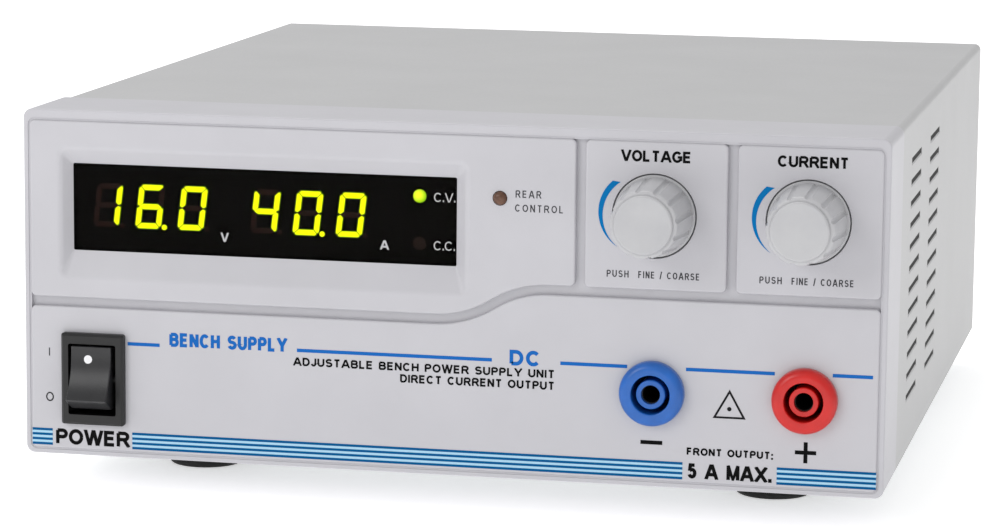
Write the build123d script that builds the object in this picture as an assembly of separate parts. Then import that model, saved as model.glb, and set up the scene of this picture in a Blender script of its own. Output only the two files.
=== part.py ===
from build123d import *

import os
from math import cos, pi, radians, sin, tan

# Bench power supply: a switching supply in a painted steel case with a moulded fascia.
#
# Row frame, millimetres: X to the right seen from the front, Y to the back, Z up. The origin is on the
# surface it stands on, at the middle of the overall width and depth, knobs and rear terminals included.
# Depths are counted from the fascia's front face (positive to the back), or from the rear panel outwards.

# ---------------------------------------------------------------- driving dimensions
WIDTH = 200.0            # case
BODY_HEIGHT = 80.0       # case without feet
FOOT_HEIGHT = 10.0
BODY_DEPTH = 226.0       # fascia face to rear panel
KNOB_REACH = 15.0        # knob front ahead of the fascia face
REAR_REACH = 14.0        # terminal stud end behind the rear panel
SHEET = 1.0              # steel thickness

FRONT_Y = -(KNOB_REACH + BODY_DEPTH + REAR_REACH) / 2 + KNOB_REACH
BASE_Z = FOOT_HEIGHT     # underside of the case
MID_Z = BODY_HEIGHT / 2

BEZEL_DEPTH = 25.0
BEZEL_WALL = 2.5
BEZEL_BACK_OF_FACE = 4.0
RIM_SET_BACK = 0.3       # rim front behind the raised panels
GROOVE_FLOOR = 1.5
GROOVE = 2.2             # groove between raised panels
GAP = 0.1                # side gap between pieces that slip into each other

FASCIA_LAP = 0.5         # the fascia stands this much proud of the case all round
RIM_TOP, RIM_SIDE, RIM_BOTTOM = 2.0, 1.1, 1.0     # width of the rim around the raised panels
RIM_GROOVE = 0.5
RIM_FLOOR = 0.5          # depth of the shallow groove between rim and panels
RIM_RADIUS = 2.0
STEP_LOW, STEP_HIGH = 36.8, 44.6       # lower edge of the display panel, left and right of its S-bend
STEP_RADIUS, STEP_ANGLE = 24.0, 32.0
STEP_START = -2.6
SPLIT_1, SPLIT_2 = 30.9, 65.3          # middles of the two upright grooves
CORNER = 1.2
PANEL_RIGHT = WIDTH / 2 + FASCIA_LAP - RIM_SIDE - RIM_GROOVE
PANEL_LEFT = -PANEL_RIGHT
PANEL_BOTTOM = RIM_BOTTOM + RIM_GROOVE - FASCIA_LAP
PANEL_TOP = BODY_HEIGHT + FASCIA_LAP - RIM_TOP - RIM_GROOVE

WINDOW = (-89.2, 1.9, 47.6, 67.95)     # x0, x1, z0, z1 of the display opening
RECESS = (-91.6, 4.8, 41.5, 71.6)      # its sloped surround at the face
RECESS_ROUND = 2.0
WINDOW_DEPTH = 2.6
WINDOW_LAP = 1.6
PANE = BEZEL_BACK_OF_FACE - WINDOW_DEPTH

KNOB_X = {"voltage": 47.7, "current": 82.4}
KNOB_Z = 61.3
KNOB_HOLE_R = 9.65
KNOB_FLANGE_R = 9.3      # plain ring at the knob's foot, level with the panel
KNOB_BASE_R, KNOB_NOSE_R = 8.85, 7.6
KNOB_BASE_DEPTH = 3.3
KNOB_GROOVES, GROOVE_R = 12, 0.85
KNOB_TURN = {"voltage": 9.6, "current": 19.0}     # where each knob was left, degrees
CAP_R = 6.6
CAP_RISE = 0.8
SHAFT_R = 3.0
RUNNING = 0.05           # radial clearance of a turning fit
PIVOT_R = 1.2

SOCKET_X = {"negative": 47.9, "positive": 82.5}
SOCKET_Z = 21.1
SOCKET_FLANGE_R, SOCKET_BARREL_R = 7.4, 6.0
SOCKET_REACH = 3.0
SHROUD_R, CORE_R, CONTACT_R, PLUG_R = 4.45, 3.35, 2.6, 2.0

SWITCH_X, SWITCH_Z = -83.6, 17.9
SWITCH_FRAME = (15.1, 21.5)
SWITCH_BODY = (13.2, 18.9)
SWITCH_HOLE = (11.5, 16.7)
SWITCH_REACH = 2.0
ROCKER_W = 9.6
ROCKER_PIVOT = 0.4
ROCKER_TILT = 20.0       # each side of the middle position
ROCKER_PIN_R = 1.0

LED_X, LED_Z, LED_R = 12.4, 64.0, 1.6
BOARD_DEPTH, BOARD_T = 14.0, 1.6
BOARD_FIXINGS = [(x, z) for x in (-92.0, -6.0, 92.0) for z in (44.0, 75.0)]
DISPLAY_FACE = 4.3
VOLTS_X, AMPS_X, DIGITS_Z = -71.0, -33.3, 58.3
STATUS_X, CV_Z, CC_Z = -7.1, 63.2, 52.3

FOOT_X, FOOT_R = 69.7, 9.0
FOOT_DEPTHS = (44.6, 190.0)
SCREW_R = 1.5
FASCIA_SCREW_X, FASCIA_SCREW_DEPTH = 40.0, 28.0
TAB_X, TAB_DEPTHS = 93.0, (60.0, 176.0)   # cover tabs, screwed from below
PANEL_SCREW_X, PANEL_SCREW_DEPTH = 50.0, 217.0
LOUVRE_ROWS, LOUVRE_PITCH, LOUVRE_TOP = 12, 5.12, 70.3
LOUVRE_LENGTH, LOUVRE_COLUMNS = 22.0, (48.6, 91.6)
LOUVRE_OPEN = 1.85
LOUVRE_RAMP = [(0, -0.3), (0, 0), (-0.5, 0.9), (-0.8, 0.85), (-SHEET, -0.3)]   # out, up

FAN_X, FAN_Z, FAN_SIZE, FAN_DEPTH = 58.0, 40.0, 60.0, 15.0
FAN_BORE_R, FAN_HUB_R, FAN_BLADE_R, FAN_BLADES = 28.6, 13.5, 27.6, 7
FAN_HOLE = 25.0          # mounting holes, from the middle
FAN_AXLE_R = 1.5
GUARD_WIRE_R, GUARD_RINGS, GUARD_EYE = 0.8, (9.0, 15.0, 21.0, 27.0), 1.2

INLET_X, INLET_Z = -71.0, 36.0         # middle of its flange
INLET_FLANGE = (50.0, 38.0)
INLET_BODY = (27.2, 34.0)
INLET_SCREW = 20.0
SOCKET_SIZE, INLET_SOCKET_Z = (24.6, 16.6), 28.2
PIN_SIZE, PIN_OFFSETS = (2.0, 4.0), ((-7.0, -2.0), (7.0, -2.0), (0.0, 2.0))
FUSE_Z, FUSE_R, FUSE_LENGTH = 46.6, 2.5, 20.0
DRAWER = (24.0, 6.6)

POST_X = {"negative": -28.0, "positive": 2.0}
POST_Z, POST_R, POST_BASE = 28.0, 4.0, 3.0
REMOTE_X, CONTROL_Z = -38.0, 63.0
MODE_X, MODE_TRAVEL, LEVER = -8.0, 4.0, 3.0
TRIM_X = {"voltage": 6.0, "current": 17.0}
TRIM_R = 3.0

BOARD_Z = 8.0            # underside of the main board above the case underside
BOARD_X, BOARD_SPAN = 88.0, (36.0, 200.0)
STANDOFFS = [(x, depth) for x in (-84.0, 0.0, 84.0) for depth in (44.0, 118.0, 192.0)]


# ---------------------------------------------------------------- placing helpers
def front(depth):
    """Plane facing the viewer, depth behind the fascia face; its own x, y are X and height in the case."""
    return Plane(origin=(0, FRONT_Y + depth, BASE_Z), x_dir=(1, 0, 0), z_dir=(0, -1, 0))


def slab(sketch, near, far):
    """A front-view sketch made solid from depth near to depth far."""
    return extrude(front(far) * sketch, far - near)


def rear_slab(sketch, inner, outer):
    """A front-view sketch made solid between two distances behind the rear panel."""
    return slab(sketch, BODY_DEPTH + inner, BODY_DEPTH + outer)


def at(x, z):
    return Pos(x, z, 0)


def block(x0, x1, d0, d1, z0, z1):
    """A box from depth d0 to d1, heights above the case underside."""
    return Pos((x0 + x1) / 2, FRONT_Y + (d0 + d1) / 2, BASE_Z + (z0 + z1) / 2) * Box(
        x1 - x0, d1 - d0, z1 - z0
    )


def post(x, depth, z0, z1, radius):
    """An upright cylinder."""
    return Pos(x, FRONT_Y + depth, BASE_Z + (z0 + z1) / 2) * Cylinder(radius, z1 - z0)


def window_sketch(box, radius=0.4, grow=0.0):
    x0, x1, z0, z1 = box
    return at((x0 + x1) / 2, (z0 + z1) / 2) * RectangleRounded(
        x1 - x0 + 2 * grow, z1 - z0 + 2 * grow, radius
    )


def front_edges(solid, depth):
    """The edges of a solid that lie on the plane at this depth."""
    y = FRONT_Y + depth
    box = [(e, e.bounding_box()) for e in solid.edges()]
    return [e for e, b in box if abs(b.min.Y - y) < 1e-3 and abs(b.max.Y - y) < 1e-3]


def group(solids):
    return Compound(children=list(solids))


# ---------------------------------------------------------------- fascia
def stepped_edge(height_low, height_high, radius_low, radius_high):
    """Corner points of an S-bend edge, and the radius at each, left to right."""
    turn = radians(STEP_ANGLE)
    rise = STEP_HIGH - STEP_LOW
    bend = STEP_RADIUS * tan(turn / 2)
    low_x = STEP_START + bend
    high_x = low_x + rise / tan(turn)
    shift = (STEP_LOW - height_low) * tan(turn / 2)
    return [(low_x + shift, height_low, radius_low), (high_x + shift, height_high, radius_high)]


def outline(corners):
    """A flat face with a radius at each corner: corners are (x, z, radius)."""
    face = make_face(Polyline([(x, z) for x, z, _ in corners], close=True))
    for x, z, radius in corners:
        near = [v for v in face.vertices() if abs(v.X - x) + abs(v.Y - z) < 1e-3]
        face = fillet(near, radius)
    return face


def panel_outlines():
    """Front-view shapes of the four raised panels: display, voltage, current and lower."""
    half = GROOVE / 2
    low, high = stepped_edge(STEP_LOW, STEP_HIGH, STEP_RADIUS, STEP_RADIUS)
    display = outline([
        (PANEL_LEFT, STEP_LOW, CORNER), low, high,
        (SPLIT_1 - half, STEP_HIGH, CORNER), (SPLIT_1 - half, PANEL_TOP, CORNER),
        (PANEL_LEFT, PANEL_TOP, CORNER),
    ])
    low, high = stepped_edge(
        STEP_LOW - GROOVE, STEP_HIGH - GROOVE, STEP_RADIUS + GROOVE, STEP_RADIUS - GROOVE
    )
    lower = outline([
        (PANEL_LEFT, PANEL_BOTTOM, CORNER), (PANEL_RIGHT, PANEL_BOTTOM, CORNER),
        (PANEL_RIGHT, STEP_HIGH - GROOVE, CORNER), high, low,
        (PANEL_LEFT, STEP_LOW - GROOVE, CORNER),
    ])
    knobs = [
        window_sketch((x0, x1, STEP_HIGH, PANEL_TOP), CORNER)
        for x0, x1 in ((SPLIT_1 + half, SPLIT_2 - half), (SPLIT_2 + half, PANEL_RIGHT))
    ]
    return [display, *knobs, lower]


def recess_edges(shell):
    """The edges where the display recess meets the face around it."""
    x0, x1, z0, z1 = RECESS
    near = []
    for e in front_edges(shell, 0):
        b = e.bounding_box()
        inside = b.min.X > x0 - 0.1 and b.max.X < x1 + 0.1
        if inside and b.min.Z > BASE_Z + z0 - 0.1 and b.max.Z < BASE_Z + z1 + 0.1:
            near.append(e)
    return near


def front_bezel():
    mid = at(0, MID_Z)
    lap = 2 * FASCIA_LAP
    shell = slab(mid * RectangleRounded(WIDTH + lap, BODY_HEIGHT + lap, RIM_RADIUS), RIM_SET_BACK, BEZEL_DEPTH)
    shell = fillet(front_edges(shell, RIM_SET_BACK), 0.45)
    x1 = PANEL_RIGHT
    z0, z1 = PANEL_BOTTOM, PANEL_TOP
    shell -= slab(window_sketch((-x1, x1, z0, z1), RIM_RADIUS - 0.3, RIM_GROOVE), -1, RIM_FLOOR)
    shell -= slab(window_sketch((-x1, x1, z0, z1), CORNER), -1, GROOVE_FLOOR)
    inside = RectangleRounded(WIDTH - 2 * BEZEL_WALL, BODY_HEIGHT - 2 * BEZEL_WALL, 2.0)
    shell -= slab(mid * inside, BEZEL_BACK_OF_FACE, BEZEL_DEPTH + 1)
    for face in panel_outlines():
        panel = slab(face, 0, GROOVE_FLOOR + 0.5)
        shell += fillet(front_edges(panel, 0), 0.45)
    tongue = mid * RectangleRounded(197.4, 77.4, 1.5) - mid * RectangleRounded(194.4, 74.4, 1.5)
    shell += slab(tongue, BEZEL_DEPTH - 2, BEZEL_DEPTH + 4)
    shell -= loft([
        front(WINDOW_DEPTH) * window_sketch(WINDOW),
        front(0) * window_sketch(RECESS, 1.5),
    ])
    shell = fillet(recess_edges(shell), RECESS_ROUND)
    shell -= slab(window_sketch(WINDOW), 0, BEZEL_BACK_OF_FACE + 1)
    shell -= slab(window_sketch(WINDOW, 0.6, WINDOW_LAP + GAP), WINDOW_DEPTH, BEZEL_BACK_OF_FACE + 1)
    shell -= slab(at(LED_X, LED_Z) * Circle(LED_R + GAP), -1, BEZEL_BACK_OF_FACE + 1)
    for x in KNOB_X.values():
        hole = slab(at(x, KNOB_Z) * Circle(KNOB_HOLE_R), -1, BEZEL_BACK_OF_FACE + 1)
        shell -= hole
    for x in SOCKET_X.values():
        shell -= slab(at(x, SOCKET_Z) * Circle(SOCKET_BARREL_R + GAP), -1, BEZEL_BACK_OF_FACE + 1)
    cut = Rectangle(SWITCH_BODY[0] + 2 * GAP, SWITCH_BODY[1] + 2 * GAP)
    shell -= slab(at(SWITCH_X, SWITCH_Z) * cut, -1, BEZEL_BACK_OF_FACE + 1)
    for x, z in BOARD_FIXINGS:
        shell += slab(at(x, z) * Circle(2.0), BEZEL_BACK_OF_FACE - 0.5, BOARD_DEPTH)
        shell -= slab(at(x, z) * Circle(1.0), BEZEL_BACK_OF_FACE + 1, BOARD_DEPTH + 1)
    for x in (-FASCIA_SCREW_X, FASCIA_SCREW_X):
        shell += block(x - 4, x + 4, BEZEL_DEPTH - 5, BEZEL_DEPTH + 4.8, 1.3, 9)
        shell -= post(x, FASCIA_SCREW_DEPTH, 0, 7, SCREW_R)
    return shell


def display_window():
    pane = slab(window_sketch(WINDOW, 0.5, WINDOW_LAP), WINDOW_DEPTH, WINDOW_DEPTH + PANE)
    return pane


def front_board():
    board = slab(at(0, 59.5) * RectangleRounded(190, 35.0, 1), BOARD_DEPTH, BOARD_DEPTH + BOARD_T)
    for x, z in BOARD_FIXINGS:
        board -= slab(at(x, z) * Circle(1.0), BOARD_DEPTH - 1, BOARD_DEPTH + BOARD_T + 1)
    return board


def board_screws():
    back = BOARD_DEPTH + BOARD_T
    screws = []
    for x, z in BOARD_FIXINGS:
        head = slab(at(x, z) * Circle(2.2), back, back + 1.6)
        head -= slab(at(x, z) * Rectangle(2.6, 0.6), back + 0.9, back + 2)
        screws.append(head + slab(at(x, z) * Circle(1.0), BEZEL_BACK_OF_FACE + 2, back + 0.2))
    return screws


def digit_module(x):
    """Three-digit seven-segment block on the front board."""
    return slab(at(x, DIGITS_Z) * RectangleRounded(31.0, 14.4, 0.4), DISPLAY_FACE, BOARD_DEPTH)


def round_led(x, z, radius, tip):
    """A domed lamp whose tip is at this depth and whose base is on the front board."""
    stem = slab(at(x, z) * Circle(radius), tip + radius * 0.8, BOARD_DEPTH)
    dome = slab(at(x, z) * Circle(radius), tip, tip + radius * 0.8 + 0.1)
    dome = fillet(front_edges(dome, tip), radius * 0.78)
    return stem + dome


# ---------------------------------------------------------------- knobs and encoders
def knob(x, turn):
    """A tapered, grooved skirt with a seat for its cap and a blind bore for the shaft."""
    nose = -(KNOB_REACH - CAP_RISE)
    centre = at(x, KNOB_Z)
    body = loft([
        front(0.5) * centre * Circle(KNOB_BASE_R),
        front(nose) * centre * Circle(KNOB_NOSE_R),
    ])
    body = fillet(front_edges(body, nose), 0.8)
    grooves = []
    for k in range(KNOB_GROOVES):
        a = radians(turn) + 2 * pi * k / KNOB_GROOVES
        ends = []
        for depth, skirt, bite in ((0.6, KNOB_BASE_R, 0.4), (nose - 1, KNOB_NOSE_R, 0.55)):
            r = skirt + GROOVE_R - bite
            ends.append(front(depth) * at(x + r * cos(a), KNOB_Z + r * sin(a)) * Circle(GROOVE_R))
        grooves.append(loft(ends))
    body -= grooves
    flange = slab(centre * Circle(KNOB_FLANGE_R), 0, KNOB_BASE_DEPTH)
    body += fillet(front_edges(flange, 0), 0.25)
    body -= slab(centre * Circle(CAP_R), nose - 1, nose + 1.2)
    body -= slab(centre * Circle(SHAFT_R), nose + 3.2, KNOB_BASE_DEPTH + 1)
    body -= slab(centre * (Circle(KNOB_BASE_R - 1.6) - Circle(SHAFT_R + 1.6)), -4.0, KNOB_BASE_DEPTH + 1)
    return body


def knob_cap(x):
    nose = -(KNOB_REACH - CAP_RISE)
    cap = slab(at(x, KNOB_Z) * Circle(CAP_R), -KNOB_REACH, nose + 1.2)
    return fillet(front_edges(cap, -KNOB_REACH), 0.5)


def encoder_shaft(x):
    nose = -(KNOB_REACH - CAP_RISE)
    shaft = slab(at(x, KNOB_Z) * Circle(SHAFT_R), nose + 3.2, 10.4)
    return shaft - slab(at(x, KNOB_Z) * Circle(PIVOT_R + RUNNING), 7.0, 11.0)


def encoder_plunger(x):
    """The push contact's actuator; the shaft turns on its pivot."""
    centre = at(x, KNOB_Z)
    return slab(centre * Circle(SHAFT_R - 0.4), 10.7, 11.6) + slab(centre * Circle(PIVOT_R), 7.4, 11.0)


def encoder_body(x):
    centre = at(x, KNOB_Z)
    body = slab(centre * RectangleRounded(12.4, 13.2, 0.6), 8.0, BOARD_DEPTH)
    body += slab(centre * Circle(4.5), 5.6, 8.1)
    return body - slab(centre * Circle(SHAFT_R + RUNNING), 5.0, 13.5)


def encoder_nut(x):
    nut = RegularPolygon(6.0, 6) - Circle(4.5)
    return slab(at(x, KNOB_Z) * nut, 6.0, 8.0)


# ---------------------------------------------------------------- power switch
def switch_frame():
    centre = at(SWITCH_X, SWITCH_Z)
    flange = slab(centre * RectangleRounded(*SWITCH_FRAME, 0.6), -SWITCH_REACH, 0)
    flange = chamfer(front_edges(flange, -SWITCH_REACH), 0.6)
    body = flange + slab(centre * Rectangle(*SWITCH_BODY), -0.5, 16.0)
    body -= slab(centre * RectangleRounded(*SWITCH_HOLE, 0.5), -SWITCH_REACH - 1, 12.0)
    return body - rocker_axis(ROCKER_PIN_R, SWITCH_BODY[0] + 1)


def rocker_axis(radius, length):
    return Pos(SWITCH_X, FRONT_Y + ROCKER_PIVOT, BASE_Z + SWITCH_Z) * (
        Rot(0, 90, 0) * Cylinder(radius, length)
    )


def power_rocker():
    """Built in its middle position, then tilted with its upper end pressed in, which is on."""
    tip_d, tip_h, mid_d = -5.6, 6.3, -4.1      # from the pivot
    side = Plane(
        origin=(SWITCH_X - ROCKER_W / 2, FRONT_Y + ROCKER_PIVOT, BASE_Z + SWITCH_Z),
        x_dir=(0, 1, 0), z_dir=(1, 0, 0),
    )
    face = ThreePointArc((tip_d, -tip_h), (mid_d, 0), (tip_d, tip_h))
    back = Polyline([
        (tip_d, tip_h), (tip_d + 0.5, tip_h + 0.3), (-0.5, 7.3), (3.5, 5.5),
        (3.5, -5.5), (-0.5, -7.3), (tip_d + 0.5, -tip_h - 0.3), (tip_d, -tip_h),
    ])
    body = extrude(side * make_face([face, back]), ROCKER_W)
    rims = [e for e in body.edges() if abs(e.length - ROCKER_W) > 0.01 and e.center().Y < FRONT_Y]
    body = fillet(rims, 0.25)
    body -= rocker_axis(ROCKER_PIN_R + RUNNING, ROCKER_W + 1)
    pivot = Axis((0, FRONT_Y + ROCKER_PIVOT, BASE_Z + SWITCH_Z), (1, 0, 0))
    return body.rotate(pivot, -ROCKER_TILT)


def rocker_pin():
    return rocker_axis(ROCKER_PIN_R, SWITCH_BODY[0])


def switch_tabs():
    tabs = []
    for x in (-3.5, 3.5):
        for z in (-6.0, 0.0):
            tab = Rectangle(0.8, 4.8)
            tabs.append(slab(at(SWITCH_X + x, SWITCH_Z + z) * tab, 16.0, 24.0))
    return group(tabs)


# ---------------------------------------------------------------- front output sockets
def output_socket(x):
    centre = at(x, SOCKET_Z)
    flange = slab(centre * Circle(SOCKET_FLANGE_R), -SOCKET_REACH, 0)
    flange = fillet(front_edges(flange, -SOCKET_REACH), 1.8)
    body = flange + slab(centre * Circle(SOCKET_BARREL_R), -0.5, 22.0)
    body -= slab(centre * (Circle(SHROUD_R) - Circle(CORE_R)), -SOCKET_REACH - 1, 18.0)
    body -= slab(centre * Circle(SHROUD_R), -SOCKET_REACH - 1, -SOCKET_REACH + 0.7)
    body = fillet(front_edges(body, -SOCKET_REACH) + front_edges(body, -SOCKET_REACH + 0.7), 0.3)
    body -= slab(centre * Circle(PLUG_R + 0.2), -SOCKET_REACH - 1, -1.0)
    return body - slab(centre * Circle(CONTACT_R), -1.0, 23.0)


def output_contact(x):
    centre = at(x, SOCKET_Z)
    sleeve = slab(centre * Circle(CONTACT_R), -1.0, 22.0) + slab(centre * Circle(1.6), 21.9, 29.0)
    return sleeve - slab(centre * Circle(PLUG_R), -2.0, 19.0)


def socket_nuts():
    nuts = []
    for x in SOCKET_X.values():
        ring = at(x, SOCKET_Z) * (RegularPolygon(8.6, 6) - Circle(SOCKET_BARREL_R))
        nuts.append(slab(ring, BEZEL_BACK_OF_FACE, 8.0))
    return nuts


# ---------------------------------------------------------------- case
def louvres():
    """Openings and pressed-in tongues of the vents in both sides."""
    openings, tongues = [], []
    half = LOUVRE_LENGTH / 2
    slot = Pos(0, LOUVRE_OPEN / 2) * Rectangle(4, LOUVRE_OPEN)
    ramp = make_face(Polyline(LOUVRE_RAMP, close=True))
    for side in (-1, 1):
        for start in LOUVRE_COLUMNS:
            for row in range(LOUVRE_ROWS):
                low = LOUVRE_TOP - row * LOUVRE_PITCH - LOUVRE_OPEN
                place = Plane(
                    origin=(side * WIDTH / 2, FRONT_Y + start + half, BASE_Z + low),
                    x_dir=(side, 0, 0), z_dir=(0, -side, 0),
                )
                openings.append(extrude(place * slot, half, both=True))
                tongues.append(extrude(place * ramp, half, both=True))
    return openings, tongues


def top_cover():
    depth = (BEZEL_DEPTH + 0.25, BODY_DEPTH + 1.0)
    outer = at(0, MID_Z) * Rectangle(WIDTH, BODY_HEIGHT)
    outer = fillet(outer.vertices().group_by(Axis.Y)[-1], 1.6)
    inner = at(0, MID_Z - SHEET) * Rectangle(WIDTH - 2 * SHEET, BODY_HEIGHT)
    inner = fillet(inner.vertices().group_by(Axis.Y)[-1], 0.6)
    cover = slab(outer - inner, *depth)
    for side in (-1, 1):
        for tab in TAB_DEPTHS:
            x0, x1 = sorted((side * (TAB_X - 6), side * (WIDTH / 2 - SHEET / 2)))
            cover += block(x0, x1, tab - 8, tab + 8, SHEET, 2 * SHEET)
            cover -= post(side * TAB_X, tab, 0, 3, SCREW_R)
    openings, tongues = louvres()
    return cover - openings + tongues


def bottom_chassis():
    half = WIDTH / 2 - SHEET - GAP
    tray = block(-half, half, BEZEL_DEPTH + 0.25, BODY_DEPTH, 0, SHEET)
    tray += block(-half + 1, half - 1, BEZEL_DEPTH + 5, BEZEL_DEPTH + 5 + SHEET, SHEET / 2, 12)
    for x, depth in floor_screw_places():
        tray -= post(x, depth, -1, 2, SCREW_R)
    for x, depth in foot_places():
        tray -= post(x, depth, -1, 2, 2.0)
    return tray


def floor_screw_places():
    places = [(x, FASCIA_SCREW_DEPTH) for x in (-FASCIA_SCREW_X, FASCIA_SCREW_X)]
    places += [(x, tab) for x in (-TAB_X, TAB_X) for tab in TAB_DEPTHS]
    places += [(x, PANEL_SCREW_DEPTH) for x in (-PANEL_SCREW_X, PANEL_SCREW_X)]
    return places + STANDOFFS


def foot_places():
    return [(x, depth) for x in (-FOOT_X, FOOT_X) for depth in FOOT_DEPTHS]


def floor_screws():
    """Pan-head screws put in from below."""
    screws = []
    for x, depth in floor_screw_places():
        head = chamfer(post(x, depth, -1.6, 0, 2.8).edges().group_by(Axis.Z)[0], 0.4)
        head -= block(x - 1.7, x + 1.7, depth - 0.4, depth + 0.4, -2, -0.8)
        head -= block(x - 0.4, x + 0.4, depth - 1.7, depth + 1.7, -2, -0.8)
        screws.append(head + post(x, depth, -0.2, 5.0, SCREW_R))
    return screws


def feet():
    pads = []
    for x, depth in foot_places():
        pad = post(x, depth, -FOOT_HEIGHT, 0, FOOT_R)
        pad = fillet(pad.edges().group_by(Axis.Z)[0], 1.0)
        pad -= post(x, depth, -FOOT_HEIGHT - 1, -4, 4.2)
        pads.append(pad - post(x, depth, -5, 1, 2.0))
    return group(pads)


def foot_screws():
    screws = []
    for x, depth in foot_places():
        head = post(x, depth, -6.2, -4, 3.6)
        head -= block(x - 2.2, x + 2.2, depth - 0.5, depth + 0.5, -7, -5.2)
        head -= block(x - 0.5, x + 0.5, depth - 2.2, depth + 2.2, -7, -5.2)
        screws.append(head + post(x, depth, -4.5, 4, 2.0))
    return screws


def rear_panel():
    half = WIDTH / 2 - SHEET - GAP
    plate = RectangleRounded(2 * half, BODY_HEIGHT - 2 * SHEET - GAP, 1.0)
    panel = rear_slab(at(0, MID_Z) * plate, -SHEET, 0)
    for z in (SHEET, BODY_HEIGHT - 2 * SHEET - GAP / 2):
        panel += block(-half + 8, half - 8, BODY_DEPTH - 14, BODY_DEPTH - SHEET / 2, z, z + SHEET)
    for x in (-PANEL_SCREW_X, PANEL_SCREW_X):
        panel -= post(x, PANEL_SCREW_DEPTH, 0, 3, SCREW_R)
    holes = [
        at(FAN_X, FAN_Z) * Circle(FAN_BORE_R),
        at(INLET_X, INLET_Z) * Rectangle(*INLET_BODY),
        at(REMOTE_X, CONTROL_Z) * RectangleRounded(26.0, 10.6, 1),
        at(MODE_X, CONTROL_Z) * Rectangle(MODE_TRAVEL + LEVER + 1.0, LEVER + 1.0),
    ]
    holes += [at(FAN_X + x, FAN_Z + z) * Circle(2.0) for x, z in fan_corners()]
    holes += [at(INLET_X + side * INLET_SCREW, INLET_Z) * Circle(SCREW_R) for side in (-1, 1)]
    holes += [at(REMOTE_X + side * 16.65, CONTROL_Z) * Circle(SCREW_R) for side in (-1, 1)]
    holes += [at(x, POST_Z) * Circle(POST_R + 2.0) for x in POST_X.values()]
    holes += [at(x, CONTROL_Z) * Circle(TRIM_R + 0.4) for x in TRIM_X.values()]
    for hole in holes:
        panel -= rear_slab(hole, -SHEET - 1, 1)
    return panel


# ---------------------------------------------------------------- fan
def fan_corners():
    return [(x, z) for x in (-FAN_HOLE, FAN_HOLE) for z in (-FAN_HOLE, FAN_HOLE)]


def fan_frame():
    centre = at(FAN_X, FAN_Z)
    frame = rear_slab(centre * RectangleRounded(FAN_SIZE, FAN_SIZE, 4), -SHEET - FAN_DEPTH, -SHEET)
    frame -= rear_slab(centre * Circle(FAN_BORE_R), -SHEET - FAN_DEPTH - 1, 0)
    motor = centre * Circle(FAN_HUB_R - 1)
    for k in range(4):
        motor += centre * Rot(0, 0, 45 + 90 * k) * Pos(FAN_BORE_R / 2 + 1, 0) * Rectangle(FAN_BORE_R, 3)
    frame += rear_slab(motor, -SHEET - 2.5, -SHEET)
    frame += rear_slab(centre * Circle(FAN_AXLE_R), -SHEET - 11, -SHEET - 2)
    for x, z in fan_corners():
        frame -= rear_slab(at(FAN_X + x, FAN_Z + z) * Circle(2.0), -SHEET - FAN_DEPTH - 1, 0)
    return frame


def fan_rotor():
    inner, outer = -SHEET - FAN_DEPTH + 1, -SHEET - 3.0
    centre = at(FAN_X, FAN_Z)
    hub = rear_slab(centre * Circle(FAN_HUB_R), inner, outer)
    hub = fillet(front_edges(hub, BODY_DEPTH + inner), 1.0)
    sweep_ring = rear_slab(centre * (Circle(FAN_BLADE_R) - Circle(FAN_HUB_R - 1)), inner + 0.4, outer)
    middle = FRONT_Y + BODY_DEPTH + (inner + outer) / 2
    for k in range(FAN_BLADES):
        blade = Pos(20.5, 0, 0) * Rot(52, 0, 0) * Box(18, 20, 1.3)
        blade = Rot(0, 360 * k / FAN_BLADES, 0) * blade
        hub += (Pos(FAN_X, middle, BASE_Z + FAN_Z) * blade) & sweep_ring
    return hub - rear_slab(centre * Circle(FAN_AXLE_R + RUNNING), -SHEET - 12, 0)


def fan_guard():
    """Bent and welded wire over the outlet, with an eye under each screw."""
    ring_y = FRONT_Y + BODY_DEPTH + 2.2
    turn = Pos(FAN_X, ring_y, BASE_Z + FAN_Z) * Rot(90, 0, 0)
    guard = [turn * Torus(r, GUARD_WIRE_R) for r in GUARD_RINGS]
    corner = FAN_HOLE * 2 ** 0.5
    for k in range(4):
        arm = Rot(0, 90 * k + 45, 0) * Pos(corner / 2 + 2, 0, 0) * Rot(0, 90, 0)
        guard.append(
            Pos(FAN_X, FRONT_Y + BODY_DEPTH + 1.0, BASE_Z + FAN_Z)
            * arm * Cylinder(GUARD_WIRE_R, corner - 8)
        )
    for x, z in fan_corners():
        eye = at(FAN_X + x, FAN_Z + z) * (Circle(4.2) - Circle(2.0))
        guard.append(rear_slab(eye, 0, GUARD_EYE))
    return guard[0] + guard[1:]


def fan_screws():
    screws = []
    for x, z in fan_corners():
        centre = at(FAN_X + x, FAN_Z + z)
        head = rear_slab(centre * Circle(3.7), GUARD_EYE + 0.7, GUARD_EYE + 2.9)
        cross = centre * (Rectangle(4.2, 0.9) + Rectangle(0.9, 4.2))
        head -= rear_slab(cross, GUARD_EYE + 1.7, 5)
        screws.append(head + rear_slab(centre * Circle(2.0), -12, GUARD_EYE + 1.0))
    return screws


# ---------------------------------------------------------------- mains inlet with fuse drawer
def inlet_pin_shapes():
    return [at(INLET_X + x, INLET_SOCKET_Z + z) * Rectangle(*PIN_SIZE) for x, z in PIN_OFFSETS]


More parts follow.
